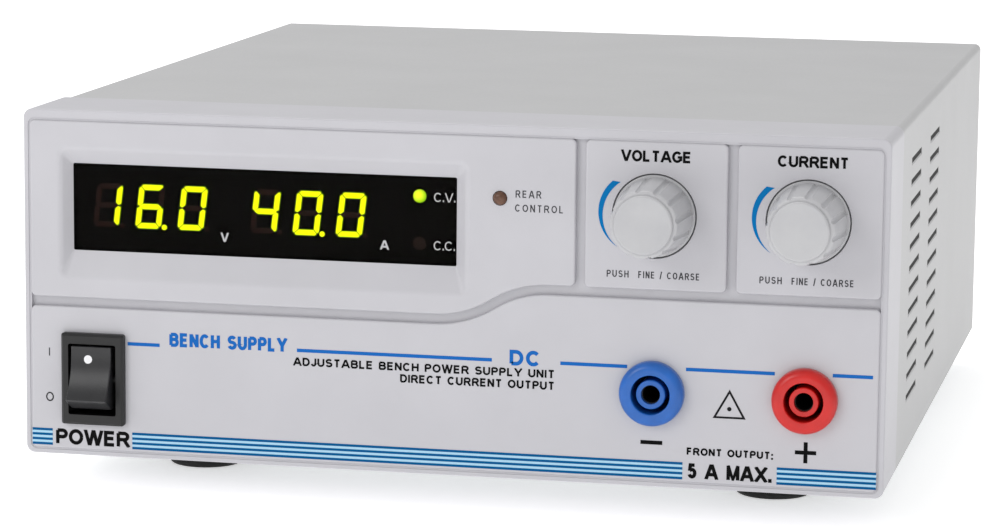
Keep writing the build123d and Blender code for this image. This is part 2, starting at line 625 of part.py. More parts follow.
def inlet_body():
    centre = at(INLET_X, INLET_Z)
    body = rear_slab(centre * RectangleRounded(*INLET_FLANGE, 4), 0, 3)
    body += rear_slab(centre * Rectangle(*INLET_BODY), -24, 0.5)
    width, height = SOCKET_SIZE
    mouth = at(INLET_X, INLET_SOCKET_Z) * Rectangle(width, height)
    mouth = chamfer(mouth.vertices().group_by(Axis.Y)[-1], 4.5)
    mouth = fillet(mouth.vertices(), 0.8)
    body -= rear_slab(mouth, -14, 4)
    body -= rear_slab(at(INLET_X, FUSE_Z) * Rectangle(DRAWER[0] + 0.8, DRAWER[1] + 0.8), -13.5, 4)
    for side in (-1, 1):
        hole = at(INLET_X + side * INLET_SCREW, INLET_Z)
        body -= rear_slab(hole * Circle(SCREW_R), -1, 4)
    for pin in inlet_pin_shapes():
        body -= rear_slab(pin, -25, -13)
    return body


def inlet_pins():
    return group([rear_slab(pin, -31, -1.5) for pin in inlet_pin_shapes()])


def inlet_screws():
    screws = []
    for side in (-1, 1):
        centre = at(INLET_X + side * INLET_SCREW, INLET_Z)
        head = rear_slab(centre * Circle(2.9), 3, 5)
        head -= rear_slab(centre * (Rectangle(3.4, 0.8) + Rectangle(0.8, 3.4)), 4, 6)
        screws.append(head + rear_slab(centre * Circle(SCREW_R), -5, 3.2))
    return screws


def fuse_drawer():
    centre = at(INLET_X, FUSE_Z)
    plate = rear_slab(centre * RectangleRounded(DRAWER[0] + 2.4, DRAWER[1] + 2.4, 0.8), 3.3, 4.9)
    drawer = plate + rear_slab(centre * Rectangle(*DRAWER), -12.5, 3.4)
    drawer -= rear_slab(centre * Pos(0, 1.0) * Rectangle(FUSE_LENGTH + 0.6, DRAWER[1]), -10.5, -4.5)
    return drawer - rear_slab(centre * Pos(0, -1.9) * Rectangle(10, 1.2), 4.2, 6)


def fuse():
    """Cartridge fuse lying across the drawer."""
    place = Pos(INLET_X, FRONT_Y + BODY_DEPTH - 7.5, BASE_Z + FUSE_Z + 0.3) * Rot(0, 90, 0)
    tube = Cylinder(FUSE_R - 0.25, FUSE_LENGTH - 1)
    for side in (-1, 1):
        tube += Pos(0, 0, side * (FUSE_LENGTH / 2 - 2.5)) * Cylinder(FUSE_R, 5)
    return place * tube


# ---------------------------------------------------------------- rear output terminals
def post_base():
    middle = sum(POST_X.values()) / 2
    base = rear_slab(at(middle, POST_Z) * RectangleRounded(54, 22, 3), 0, POST_BASE)
    for x in POST_X.values():
        base += rear_slab(at(x, POST_Z) * Circle(POST_R + 2.0 - GAP), -3, 0.5)
        base -= rear_slab(at(x, POST_Z) * Circle(POST_R + GAP), -4, POST_BASE + 1)
    return base


def post_stud(x):
    centre = at(x, POST_Z)
    stud = rear_slab(centre * Circle(POST_R), -14, REAR_REACH)
    stud += rear_slab(centre * RegularPolygon(7.5, 6), -6.5, -3)
    return chamfer(front_edges(stud, BODY_DEPTH + REAR_REACH), 0.6)


def post_washer(x):
    return rear_slab(at(x, POST_Z) * (Circle(7.4) - Circle(POST_R + RUNNING)), POST_BASE + 0.3, 4.5)


def post_cap(x):
    """Grooved nut that clamps a lug."""
    centre = at(x, POST_Z)
    cap = rear_slab(centre * Circle(8.6), 4.6, 12.0)
    cap = chamfer(front_edges(cap, BODY_DEPTH + 12.0), 0.8)
    for k in range(14):
        a = 2 * pi * k / 14
        cap -= rear_slab(at(x + 9.2 * cos(a), POST_Z + 9.2 * sin(a)) * Circle(1.1), 6.4, 13)
    return cap - rear_slab(centre * Circle(POST_R + RUNNING), 4, 13)


# ---------------------------------------------------------------- remote control fittings
def remote_shell():
    """Metal surround of the remote-control socket."""
    centre = at(REMOTE_X, CONTROL_Z)
    shell = rear_slab(centre * RectangleRounded(39.1, 12.5, 1), 0, 1) + rear_slab(d_shape(0), 0.5, 6)
    for side in (-1, 1):
        shell -= rear_slab(at(REMOTE_X + side * 16.65, CONTROL_Z) * Circle(SCREW_R), -1, 2)
    return shell - rear_slab(d_shape(0.6), -1, 7)


def d_shape(inset):
    """The keyed outline of the socket, wider at the top."""
    top, bottom, half = 12.4 - inset, 10.9 - inset, 4.1 - inset
    corners = [(-top, half), (top, half), (bottom, -half), (-bottom, -half)]
    face = make_face(Polyline([(REMOTE_X + x, CONTROL_Z + z) for x, z in corners], close=True))
    return fillet(face.vertices(), 1.6)


def remote_insert():
    insert = rear_slab(d_shape(0.6), -1, 5.7) + rear_slab(
        at(REMOTE_X, CONTROL_Z) * RectangleRounded(26.0, 10.6, 1), -8, 0
    )
    for row, count in ((1.42, 8), (-1.42, 7)):
        for k in range(count):
            x = REMOTE_X + (k - (count - 1) / 2) * 2.77
            insert -= rear_slab(at(x, CONTROL_Z + row) * Circle(0.55), 1.0, 6)
    return insert


def remote_posts():
    posts = []
    for side in (-1, 1):
        centre = at(REMOTE_X + side * 16.65, CONTROL_Z)
        column = rear_slab(centre * RegularPolygon(2.9, 6), 1, 6) - rear_slab(centre * Circle(1.2), 2, 7)
        posts.append(column + rear_slab(centre * Circle(SCREW_R), -5, 1.2))
    return posts


def mode_switch():
    centre = at(MODE_X, CONTROL_Z)
    body = rear_slab(centre * Rectangle(13, 7.4), -8, -SHEET)
    return body - rear_slab(centre * Rectangle(MODE_TRAVEL + LEVER + 3.6, LEVER + 1.6), -6.5, 0)


def mode_lever():
    """Sliding handle, resting at the left end of its travel, with a shoe inside the body."""
    centre = at(MODE_X - MODE_TRAVEL / 2, CONTROL_Z)
    lever = rear_slab(centre * RectangleRounded(LEVER, LEVER, 0.3), -3.5, 2.6)
    return lever + rear_slab(centre * Rectangle(LEVER + 2.6, LEVER + 0.8), -6.1, -2.8)


def trimmer_body(x):
    body = rear_slab(at(x, CONTROL_Z) * Rectangle(9, 9), -9, -SHEET)
    body -= rear_slab(at(x, CONTROL_Z) * Circle(TRIM_R + 0.3), -6.3, 0)
    return body - rear_slab(at(x, CONTROL_Z) * Circle(PIVOT_R + RUNNING), -8, -6)


def trimmer_rotor(x):
    rotor = rear_slab(at(x, CONTROL_Z) * Circle(TRIM_R), -6.0, -0.4)
    rotor -= rear_slab(at(x, CONTROL_Z) * Rectangle(0.8, 2 * TRIM_R + 1), -1.6, 0)
    return rotor + rear_slab(at(x, CONTROL_Z) * Circle(PIVOT_R), -7.7, -5.8)


# ---------------------------------------------------------------- inside the case
def main_board():
    board = block(-BOARD_X, BOARD_X, *BOARD_SPAN, BOARD_Z, BOARD_Z + BOARD_T)
    for x, depth in STANDOFFS:
        board -= post(x, depth, 5, 12, SCREW_R)
    return board


def standoffs():
    pillars = []
    for x, depth in STANDOFFS:
        pillar = extrude(Pos(x, FRONT_Y + depth, BASE_Z + SHEET) * RegularPolygon(3.2, 6), BOARD_Z - SHEET)
        pillars.append(pillar - post(x, depth, 0, 5.0, SCREW_R))
    return group(pillars)


def standoff_screws():
    screws = []
    top = BOARD_Z + BOARD_T
    for x, depth in STANDOFFS:
        screws.append(post(x, depth, top, top + 1.8, 2.8) + post(x, depth, BOARD_Z, top + 0.2, SCREW_R))
    return screws


def heatsinks():
    """Two extruded fin blocks, one each side of the air path."""
    top = BOARD_Z + BOARD_T
    sinks = []
    for x in (26.0, -44.0):
        sink = block(x, x + 4, 60, 150, top, 62)
        for k in range(10):
            z = top + 5 + k * 5.0
            sink += block(x + 3.5, x + 18, 60, 150, z, z + 1.4)
        sinks.append(sink)
    return group(sinks)


def power_transistors():
    packages = []
    for x in (26.0, -44.0):
        for k in range(4):
            depth = 72 + 22 * k
            packages.append(block(x - 4.8, x, depth - 8, depth + 8, 20, 41))
    return group(packages)


def transformer_core():
    core = block(-18, 12, 96, 140, 12, 52)
    window = block(-19, 13, 103, 133, 18, 46)
    return core - window + block(-18, 12, 112, 124, 17, 47)


def transformer_winding():
    coil = block(-17.5, 11.5, 104, 132, 18.5, 45.5)
    return coil - block(-19, 13, 112, 124, 17, 47)


def output_choke():
    ring = Pos(60, FRONT_Y + 180, BASE_Z + BOARD_Z + BOARD_T + 8) * Torus(12, 7.5)
    return ring


def capacitors():
    top = BOARD_Z + BOARD_T
    cans = [post(-66, depth, top, 58, 12.5) for depth in (68, 98, 128)]
    cans += [post(x, 170, top, 38, 8.0) for x in (-20, 2, 24)]
    return group([fillet(can.edges().group_by(Axis.Z)[-1], 1.2) for can in cans])


def mains_filter():
    top = BOARD_Z + BOARD_T
    return block(-86, -54, 150, 186, top, 42)


# ---------------------------------------------------------------- assembly
NODES = {
    "front_bezel": front_bezel(),
    "display_window": display_window(),
    "front_board": front_board(),
    "board_screws": group(board_screws() + standoff_screws()),
    "voltage_display": digit_module(VOLTS_X),
    "current_display": digit_module(AMPS_X),
    "cv_led": round_led(STATUS_X, CV_Z, LED_R, DISPLAY_FACE),
    "cc_led": round_led(STATUS_X, CC_Z, LED_R, DISPLAY_FACE),
    "rear_control_led": round_led(LED_X, LED_Z, LED_R, -1.0),
    "switch_frame": switch_frame(),
    "power_rocker": power_rocker(),
    "rocker_pin": rocker_pin(),
    "switch_tabs": switch_tabs(),
    "front_nuts": group(socket_nuts() + [encoder_nut(x) for x in KNOB_X.values()]),
    "top_cover": top_cover(),
    "bottom_chassis": bottom_chassis(),
    "underside_screws": group(floor_screws() + foot_screws()),
    "feet": feet(),
    "rear_panel": rear_panel(),
    "fan_frame": fan_frame(),
    "fan_rotor": fan_rotor(),
    "fan_guard": fan_guard(),
    "inlet_body": inlet_body(),
    "inlet_pins": inlet_pins(),
    "fuse_drawer": fuse_drawer(),
    "fuse": fuse(),
    "terminal_base": post_base(),
    "remote_shell": remote_shell(),
    "remote_insert": remote_insert(),
    "rear_fasteners": group(fan_screws() + inlet_screws() + remote_posts()),
    "rear_control_bodies": group([mode_switch()] + [trimmer_body(x) for x in TRIM_X.values()]),
    "mode_lever": mode_lever(),
    "main_board": main_board(),
    "standoffs": standoffs(),
    "heatsinks": heatsinks(),
    "power_transistors": power_transistors(),
    "transformer_core": transformer_core(),
    "transformer_winding": transformer_winding(),
    "output_choke": output_choke(),
    "capacitors": capacitors(),
    "mains_filter": mains_filter(),
}
for name, x in KNOB_X.items():
    NODES[name + "_knob"] = knob(x, KNOB_TURN[name])
    NODES[name + "_knob_cap"] = knob_cap(x)
    NODES[name + "_shaft"] = encoder_shaft(x)
    NODES[name + "_plunger"] = encoder_plunger(x)
NODES["encoder_bodies"] = group([encoder_body(x) for x in KNOB_X.values()])
for name, x in TRIM_X.items():
    NODES[name + "_trimmer"] = trimmer_rotor(x)
NODES["negative_socket"] = output_socket(SOCKET_X["negative"])
NODES["positive_socket"] = output_socket(SOCKET_X["positive"])
NODES["output_contacts"] = group([output_contact(x) for x in SOCKET_X.values()])
NODES["terminal_studs"] = group([post_stud(x) for x in POST_X.values()])
for name, x in POST_X.items():
    NODES[name + "_terminal_washer"] = post_washer(x)
    NODES[name + "_terminal_cap"] = post_cap(x)

os.makedirs("parts", exist_ok=True)
for name, shape in NODES.items():
    export_step(shape, f"parts/{name}.step")
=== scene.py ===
from math import cos, pi, radians, sin, tan

import bpy
from mathutils import Matrix, Vector


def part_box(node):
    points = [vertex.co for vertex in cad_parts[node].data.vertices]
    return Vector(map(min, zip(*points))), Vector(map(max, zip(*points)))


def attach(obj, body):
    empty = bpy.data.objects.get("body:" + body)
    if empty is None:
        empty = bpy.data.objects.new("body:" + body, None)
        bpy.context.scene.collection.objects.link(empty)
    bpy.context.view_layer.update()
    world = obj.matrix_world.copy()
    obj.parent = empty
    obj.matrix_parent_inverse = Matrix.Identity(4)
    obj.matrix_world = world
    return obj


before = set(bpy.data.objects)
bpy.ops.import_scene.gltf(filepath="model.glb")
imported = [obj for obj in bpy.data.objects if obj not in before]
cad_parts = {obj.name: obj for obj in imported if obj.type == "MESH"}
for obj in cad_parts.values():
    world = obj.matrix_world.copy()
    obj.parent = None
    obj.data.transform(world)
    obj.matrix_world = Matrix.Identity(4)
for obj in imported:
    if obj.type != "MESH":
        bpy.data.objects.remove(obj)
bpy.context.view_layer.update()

MM = 0.001
FACE_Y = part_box("front_bezel")[0][1]         # front of the raised panels
BASE_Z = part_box("bottom_chassis")[0][2]      # underside of the case
REAR_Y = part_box("rear_panel")[1][1]          # outside of the rear panel
INK = 0.04                                   # how far printing stands out from its panel, mm
FILM = 0.03                                  # thickness of printed pieces, mm
PANE_DEPTH = 2.6                             # front of the window pane behind the panels, mm
DISPLAY_DEPTH = 4.1                          # front of the black mask behind the pane, mm
LIT_DEPTH = DISPLAY_DEPTH - 0.06             # front of the segments and lamps on that mask, mm
LAMP_X, LAMP_RADIUS = -7.1, 1.55             # the two status lamps, mm
LIT_CORE, LIT_CORE_RADIUS = (-7.4, 63.4), 1.9       # hot spot of the lit one, mm
KNOB_X, KNOB_Z = (47.7, 82.4), 61.3          # middles of the two knobs, mm


def spot(x, z, depth=0.0):
    """A place on the front: x and height in mm, depth behind the panels."""
    return Vector((x * MM, FACE_Y + depth * MM, BASE_Z + z * MM))


# ---------------------------------------------------------------- camera, light and floor
def aim_camera():
    """Long lens, a little above and to the right, rolled about half a degree."""
    bpy.ops.object.select_all(action="DESELECT")
    bpy.ops.object.camera_add()
    camera = bpy.context.object
    camera.name = "camera"
    forward = Vector((-0.2071, 0.9656, -0.1569)).normalized()
    up = Vector((-0.0426, 0.1514, 0.9876))
    right = forward.cross(up).normalized()
    up = right.cross(forward)
    turn = Matrix((right, up, -forward)).transposed().to_4x4()
    camera.matrix_world = Matrix.Translation(spot(188.59, 181.89, -820.69)) @ turn
    camera.data.lens = 135.4
    camera.data.sensor_width = 36.0
    camera.data.clip_start = 0.05
    bpy.context.scene.camera = camera


def add_light(name, place, target, size, power):
    """A round soft lamp at a place, turned to its target; metres and watts."""
    bpy.ops.object.light_add(type="AREA", location=place)
    lamp = bpy.context.object
    lamp.name = name
    lamp.data.shape = "DISK"
    lamp.data.size = size
    lamp.data.energy = power
    lamp.rotation_euler = (Vector(target) - Vector(place)).to_track_quat("-Z", "Y").to_euler()


def light_studio():
    """White room, a key light from the upper left and a soft one overhead."""
    world = bpy.data.worlds.new("soft_room")
    bpy.context.scene.world = world
    world.use_nodes = True
    world.node_tree.nodes["Background"].inputs["Color"].default_value = (1.0, 1.0, 1.0, 1.0)
    world.node_tree.nodes["Background"].inputs["Strength"].default_value = 0.67
    add_light("key_softbox", (-0.6, -0.9, 0.6), (-0.06, -0.1, 0.05), 0.6, 3.0)
    add_light("top_softbox", (-0.4, 0.4, 1.6), (0.0, 0.0, 0.09), 1.0, 9.0)
    bpy.context.scene.view_settings.view_transform = "Standard"


def lay_floor():
    """Plain paper under the object, wide enough to fill every view."""
    bpy.ops.object.select_all(action="DESELECT")
    bpy.ops.mesh.primitive_plane_add(size=60.0)
    floor = bpy.context.object
    floor.name = "floor"
    floor.data.materials.append(MATERIALS["pale_floor"])


# ---------------------------------------------------------------- materials
MATERIALS = {}


def linear(code):
    """sRGB hex to a linear colour."""
    values = [int(code[i:i + 2], 16) / 255 for i in (1, 3, 5)]
    return tuple(v / 12.92 if v <= 0.04045 else ((v + 0.055) / 1.055) ** 2.4 for v in values) + (1.0,)


def node(tree, kind, links=(), **settings):
    """Adds a node; settings are its properties or its inputs' values, links are (input, socket)."""
    made = tree.nodes.new(kind)
    for name, value in settings.items():
        if hasattr(made, name):
            setattr(made, name, value)
        else:
            made.inputs[name.replace("_", " ")].default_value = value
    for name, socket in links:
        tree.links.new(socket, made.inputs[name])
    return made


def surface(name, colour, rough, metallic=0.0, ior=1.5, **more):
    """Makes a material, kept by its name; returns its tree and shader. More are further shader inputs."""
    material = bpy.data.materials.new(name)
    material.use_nodes = True
    shader = material.node_tree.nodes["Principled BSDF"]
    shader.inputs["Base Color"].default_value = linear(colour)
    shader.inputs["Roughness"].default_value = rough
    shader.inputs["Metallic"].default_value = metallic
    if not metallic:
        shader.inputs["IOR"].default_value = ior
    for key, value in more.items():
        shader.inputs[key.replace("_", " ")].default_value = value
    MATERIALS[name] = material
    return material.node_tree, shader


def two_colours(tree, factor, low, high, target):
    """Blends from one colour to another as the factor rises; low and high are (factor, colour)."""
    ramp = node(tree, "ShaderNodeValToRGB", [("Fac", factor)])
    for stop, (position, colour) in zip(ramp.color_ramp.elements, (low, high)):
        stop.position = position
        stop.color = linear(colour)
    tree.links.new(ramp.outputs["Color"], target)


def mottle(tree, shader, light, dark, grain_mm, detail=3.0):
    """Slow change of colour over the surface, light to dark."""
    place = node(tree, "ShaderNodeTexCoord")
    cloud = node(tree, "ShaderNodeTexNoise", [("Vector", place.outputs["Object"])],
                 Scale=1.0 / (grain_mm * MM), Detail=detail, Roughness=0.55)
    two_colours(tree, cloud.outputs["Fac"], (0.3, dark), (0.7, light), shader.inputs["Base Color"])


def grain(tree, shader, grain_mm, depth_mm, rough=None, kind="ShaderNodeTexNoise", stretch=None):
    """Raised grain, and roughness between two values that follows it."""
    place = node(tree, "ShaderNodeTexCoord")
    source = place.outputs["Object"]
    if stretch:
        source = node(tree, "ShaderNodeMapping", [("Vector", source)], Scale=stretch).outputs["Vector"]
    bits = node(tree, kind, [("Vector", source)], Scale=1.0 / (grain_mm * MM))
    height = bits.outputs["Fac" if kind == "ShaderNodeTexNoise" else "Distance"]
    bump = node(tree, "ShaderNodeBump", [("Height", height)], Strength=1.0, Distance=depth_mm * MM)
    tree.links.new(bump.outputs["Normal"], shader.inputs["Normal"])
    if rough:
        spread = node(tree, "ShaderNodeMapRange", [("Value", height)], To_Min=rough[0], To_Max=rough[1])
        tree.links.new(spread.outputs["Result"], shader.inputs["Roughness"])


def make_case_materials():
    # injection-moulded ABS, spark-eroded mould: a faint even grain and soft gloss
    abs_light = surface("moulded_abs_light_grey", "#BCBBC0", 0.42)
    mottle(*abs_light, "#BEBDC2", "#BAB9BE", 18)
    grain(*abs_light, 0.35, 0.006, (0.38, 0.48))
    # powder coat on steel: fine orange peel
    coat = surface("powder_coated_steel", "#B4B4B5", 0.45)
    mottle(*coat, "#B6B6B7", "#B2B2B3", 30)
    grain(*coat, 0.7, 0.02, (0.40, 0.52))
    # mid-grey, painted shade for the gaps round the knobs
    gap_shade = surface("grey_gap_shade", "#8C8C8E", 0.95, Specular_IOR_Level=0.1)
    mottle(*gap_shade, "#949496", "#838385", 0.4)
    # hot-dip galvanised steel sheet: large pale crystals
    zinc = surface("galvanised_steel", "#B5B9BC", 0.4, metallic=1.0)
    mottle(*zinc, "#C2C6C8", "#A4A9AD", 6, 1.0)
    grain(*zinc, 0.5, 0.004, (0.3, 0.5))
    # smoked acrylic: thinly tinted and mirror-smooth; the black film behind it makes it look dark
    smoked = surface("smoked_acrylic", "#A9A5A2", 0.04, ior=1.08, Transmission_Weight=1.0)
    mottle(*smoked, "#ABA7A4", "#A7A3A0", 40)


def make_control_materials():
    # white-grey ABS of the knobs, satin
    knob = surface("satin_abs_white", "#B6B6B9", 0.36)
    mottle(*knob, "#B9B9BB", "#B2B2B5", 7)
    grain(*knob, 0.25, 0.003, (0.32, 0.42))
    # black polyamide of switch, fan and inlet: fine matt grain
    black = surface("black_polyamide", "#0E0E0F", 0.5)
    mottle(*black, "#111112", "#0B0B0C", 5)
    grain(*black, 0.3, 0.008, (0.38, 0.5))
    # polycarbonate of the rocker: smoother and a little glossier than its frame
    rocker = surface("black_polycarbonate", "#202022", 0.28)
    mottle(*rocker, "#242426", "#1C1C1E", 4)
    grain(*rocker, 0.35, 0.02, (0.25, 0.42))
    # dyed polyamide of the sockets: satin with soft highlights
    for name, bright, deep in (
        ("blue_polyamide", "#1A62B8", "#1556A4"), ("red_polyamide", "#CC1A14", "#BC130F"),
    ):
        dyed = surface(name, bright, 0.3)
        mottle(*dyed, bright, deep, 5)
        grain(*dyed, 0.3, 0.003, (0.25, 0.36))
    # moulded natural rubber feet: dull, dusty black
    rubber = surface("black_rubber", "#141414", 0.75)
    mottle(*rubber, "#1C1B1A", "#101010", 4)
    grain(*rubber, 0.25, 0.015, (0.65, 0.85))


def make_metals():
    # bright zinc plate on screws and nuts
    plate = surface("zinc_plated_steel", "#C9CBCC", 0.28, metallic=1.0)
    mottle(*plate, "#D2D3D3", "#BCBFC2", 2)
    grain(*plate, 0.3, 0.004, (0.2, 0.36))
    # chrome-plated wire of the fan guard
    chrome = surface("chrome_plated_wire", "#D9DBDD", 0.12, metallic=1.0)
    mottle(*chrome, "#DDDFE0", "#D0D3D6", 3)
    grain(*chrome, 0.6, 0.002, (0.08, 0.18))
    # dulled nickel inside the output sockets
    nickel = surface("dulled_nickel", "#3A3936", 0.5, metallic=1.0)
    mottle(*nickel, "#403F3C", "#32312F", 2)
    grain(*nickel, 0.3, 0.003, (0.42, 0.58))
    # nickel-plated brass contacts
    brass = surface("plated_brass", "#CDB06B", 0.25, metallic=1.0)
    mottle(*brass, "#D4B976", "#C2A35B", 2)
    grain(*brass, 0.3, 0.003, (0.18, 0.32))
    # mill-finish aluminium: drawn lines along its length
    alloy = surface("extruded_aluminium", "#B7B9BB", 0.35, metallic=1.0)
    mottle(*alloy, "#C0C2C4", "#ADB0B2", 5)
    grain(*alloy, 0.4, 0.006, (0.28, 0.42), stretch=(1.0, 0.05, 1.0))


def make_inner_materials():
    # glass-epoxy board under green solder mask, with copper tracks showing through
    board = surface("solder_mask_board", "#1F5B35", 0.3)
    mottle(*board, "#2A6E42", "#184C2B", 3)
    grain(*board, 1.2, 0.03, (0.22, 0.38), kind="ShaderNodeTexVoronoi")
    # filled epoxy face of a digit module: dull dark brown-black
    epoxy = surface("dark_epoxy", "#0B0706", 0.6)
    mottle(*epoxy, "#0E0908", "#080504", 3)
    grain(*epoxy, 0.2, 0.003)
    # fired ferrite core
    ferrite = surface("fired_ferrite", "#2B2C2E", 0.55)
    mottle(*ferrite, "#343538", "#232426", 2)
    grain(*ferrite, 0.4, 0.02)
    # yellow polyester winding tape, wrapped in layers
    tape = surface("polyester_tape", "#C9A52B", 0.3)
    mottle(*tape, "#D4B23A", "#BE981F", 8)
    grain(*tape, 1.0, 0.04, (0.25, 0.4), stretch=(1.0, 1.0, 6.0))
    # enamelled copper wire seen as turns
    copper = surface("enamelled_copper", "#A65E2C", 0.3, metallic=1.0)
    mottle(*copper, "#B66B34", "#8E4C20", 2)
    grain(*copper, 1.0, 0.2, (0.25, 0.4))
    # shrink sleeve of the capacitors
    sleeve = surface("pvc_shrink_sleeve", "#1F2430", 0.35)
    mottle(*sleeve, "#272D3B", "#191D27", 9)
    grain(*sleeve, 0.8, 0.01, (0.3, 0.45))
    # white acetal of levers and filter case
    acetal = surface("white_acetal", "#E4E4E0", 0.4)
    mottle(*acetal, "#E8E8E4", "#DDDDD8", 4)
    grain(*acetal, 0.3, 0.004, (0.35, 0.45))
    # borosilicate tube and nickel caps of a fuse, seen as one pale gloss
    fuse = surface("fuse_glass", "#DDE3E2", 0.1, ior=1.47)
    mottle(*fuse, "#E3E8E7", "#D2D9D8", 3)


def make_inks():
    # screen-printed inks: thin, matt, a little uneven
    for name, colour in (
        ("black_ink", "#050506"), ("dark_grey_ink", "#1C1C1F"), ("grey_ink", "#3A3A3E"),
        ("white_ink", "#E8E8EA"), ("dim_white_ink", "#B9B9BB"), ("line_blue_ink", "#1A63B2"),
        ("knob_blue_ink", "#006FAE"), ("deep_blue_ink", "#00548A"), ("pale_blue_ink", "#A6CDE2"),
    ):
        ink = surface(name, colour, 0.75, Specular_IOR_Level=0.08)
        grain(*ink, 0.25, 0.004, (0.5, 0.7))


def make_lamp_materials():
    # lit gallium phosphide: bright yellow-green, with a faint halo in the epoxy beside it
    for name, colour, power in (("lit_segment", "#E6FF00", 3.2), ("segment_glow", "#4A7A00", 0.35)):
        lit = surface(name, colour, 0.4, Emission_Strength=power, Emission_Color=linear(colour))
        grain(*lit, 0.5, 0.004)
    # status lamp seen end on: hot yellow core, greener towards its rim
    tree, shader = surface("lit_lamp", "#C8F000", 0.3, Emission_Strength=3.0)
    place = node(tree, "ShaderNodeTexCoord")
    core = LIT_CORE_RADIUS * MM
    centred = node(tree, "ShaderNodeMapping", [("Vector", place.outputs["Object"])],
                   Location=-spot(*LIT_CORE, DISPLAY_DEPTH) / core, Scale=(1 / core,) * 3)
    ball = node(tree, "ShaderNodeTexGradient", [("Vector", centred.outputs["Vector"])],
                gradient_type="SPHERICAL")
    glow = shader.inputs["Emission Color"]
    two_colours(tree, ball.outputs["Color"], (0.1, "#6FB400"), (0.7, "#E8FF30"), glow)
    # black film: the sheet behind the window, and the strips in the vents, which are painted shade for the
    # dark inside of the case
    film = surface("black_film_and_vent_shade", "#0A0808", 0.7, Specular_IOR_Level=0.2)
    mottle(*film, "#0D0A0A", "#080606", 8)
    # unlit segments and lamps: dull diffusing epoxy
    for name, bright, deep in (
        ("unlit_segment", "#4A2018", "#3C1812"), ("amber_lamp_epoxy", "#6E4A34", "#4A2C1E"),
        ("dark_lamp_epoxy", "#2E1B14", "#21120D"), ("unlit_lamp", "#4A3026", "#38221A"),
    ):
        dull = surface(name, bright, 0.35)
        mottle(*dull, bright, deep, 1.5)
        grain(*dull, 0.3, 0.004)


def make_floor_material():
    # plain pale studio paper, lit a little from below so that it stays white
    paper = surface("pale_floor", "#F4F4F4", 0.9, Emission_Strength=0.5, Emission_Color=linear("#FFFFFF"))
    mottle(*paper, "#F5F5F5", "#F2F2F2", 400)


FINISHES = {
    "moulded_abs_light_grey": ["front_bezel"],
    "powder_coated_steel": ["top_cover", "rear_panel"],
    "galvanised_steel": ["bottom_chassis", "encoder_bodies"],
    "smoked_acrylic": ["display_window"],
    "satin_abs_white": ["voltage_knob", "voltage_knob_cap", "current_knob", "current_knob_cap"],
    "black_polyamide": ["rocker_pin", "switch_frame", "fan_frame", "fan_rotor", "inlet_body", "fuse_drawer",
                        "terminal_base", "remote_insert", "rear_control_bodies", "power_transistors",
                        "negative_terminal_cap"],
    "black_polycarbonate": ["power_rocker"],
    "blue_polyamide": ["negative_socket"],
    "red_polyamide": ["positive_socket", "positive_terminal_cap"],
    "black_rubber": ["feet"],
    "zinc_plated_steel": ["board_screws", "underside_screws", "front_nuts", "rear_fasteners", "remote_shell",
                          "terminal_studs", "negative_terminal_washer", "positive_terminal_washer"],
    "chrome_plated_wire": ["fan_guard"],
    "plated_brass": ["inlet_pins", "switch_tabs", "standoffs"],
    "dulled_nickel": ["output_contacts"],
    "extruded_aluminium": ["heatsinks", "voltage_shaft", "current_shaft"],
    "solder_mask_board": ["front_board", "main_board"],
    "dark_epoxy": ["voltage_display", "current_display"],
    "fired_ferrite": ["transformer_core"],
    "polyester_tape": ["transformer_winding"],
    "enamelled_copper": ["output_choke"],
    "pvc_shrink_sleeve": ["capacitors"],
    "white_acetal": ["mode_lever", "mains_filter", "voltage_plunger", "current_plunger", "voltage_trimmer",
                     "current_trimmer"],
    "fuse_glass": ["fuse"],
    "lit_lamp": ["cv_led"],
    "dark_lamp_epoxy": ["cc_led"],
    "amber_lamp_epoxy": ["rear_control_led"],
}


def finish_cad_nodes():
    """Puts the real finish on every CAD node that stays in view."""
    for finish, names in FINISHES.items():
        for name in names:
            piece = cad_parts[name]
            piece.data.materials.clear()
            piece.data.materials.append(MATERIALS[finish])


# ---------------------------------------------------------------- making pieces
def alone(piece):
    """Selects one piece and nothing else."""
    bpy.ops.object.select_all(action="DESELECT")
    piece.select_set(True)
    bpy.context.view_layer.objects.active = piece


def settle(piece, name, finish, body):
    """Names a piece, gives it its finish and fixes it to its body, with its place in its mesh."""
    alone(piece)
    bpy.ops.object.transform_apply(location=True, rotation=True, scale=True)
    piece.name = piece.data.name = name
    piece.data.materials.clear()
    piece.data.materials.append(MATERIALS[finish])
    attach(piece, body)


def join(pieces):
    """Makes several pieces one."""
    bpy.ops.object.select_all(action="DESELECT")
    for piece in pieces:
        piece.select_set(True)
    bpy.context.view_layer.objects.active = pieces[0]
    if len(pieces) > 1:
        bpy.ops.object.join()
    return bpy.context.object


def bar(x0, x1, z0, z1, depth=-INK, thick=FILM):
    """A flat printed bar on the front, in mm."""
    bpy.ops.object.select_all(action="DESELECT")
    bpy.ops.mesh.primitive_cube_add(size=1.0)
    piece = bpy.context.object
    low, high = spot(x0, z0, depth), spot(x1, z1, depth + thick)
    for corner in piece.data.vertices:
        corner.co = [low[i] if corner.co[i] < 0 else high[i] for i in range(3)]
    return piece


def oval(cx, cz, rx, rz, start, stop, steps=14):
    """Points on part of an ellipse, angles in degrees."""
    turns = [radians(start + (stop - start) * k / steps) for k in range(steps + 1)]
    return [(cx + rx * cos(a), cz + rz * sin(a)) for a in turns]


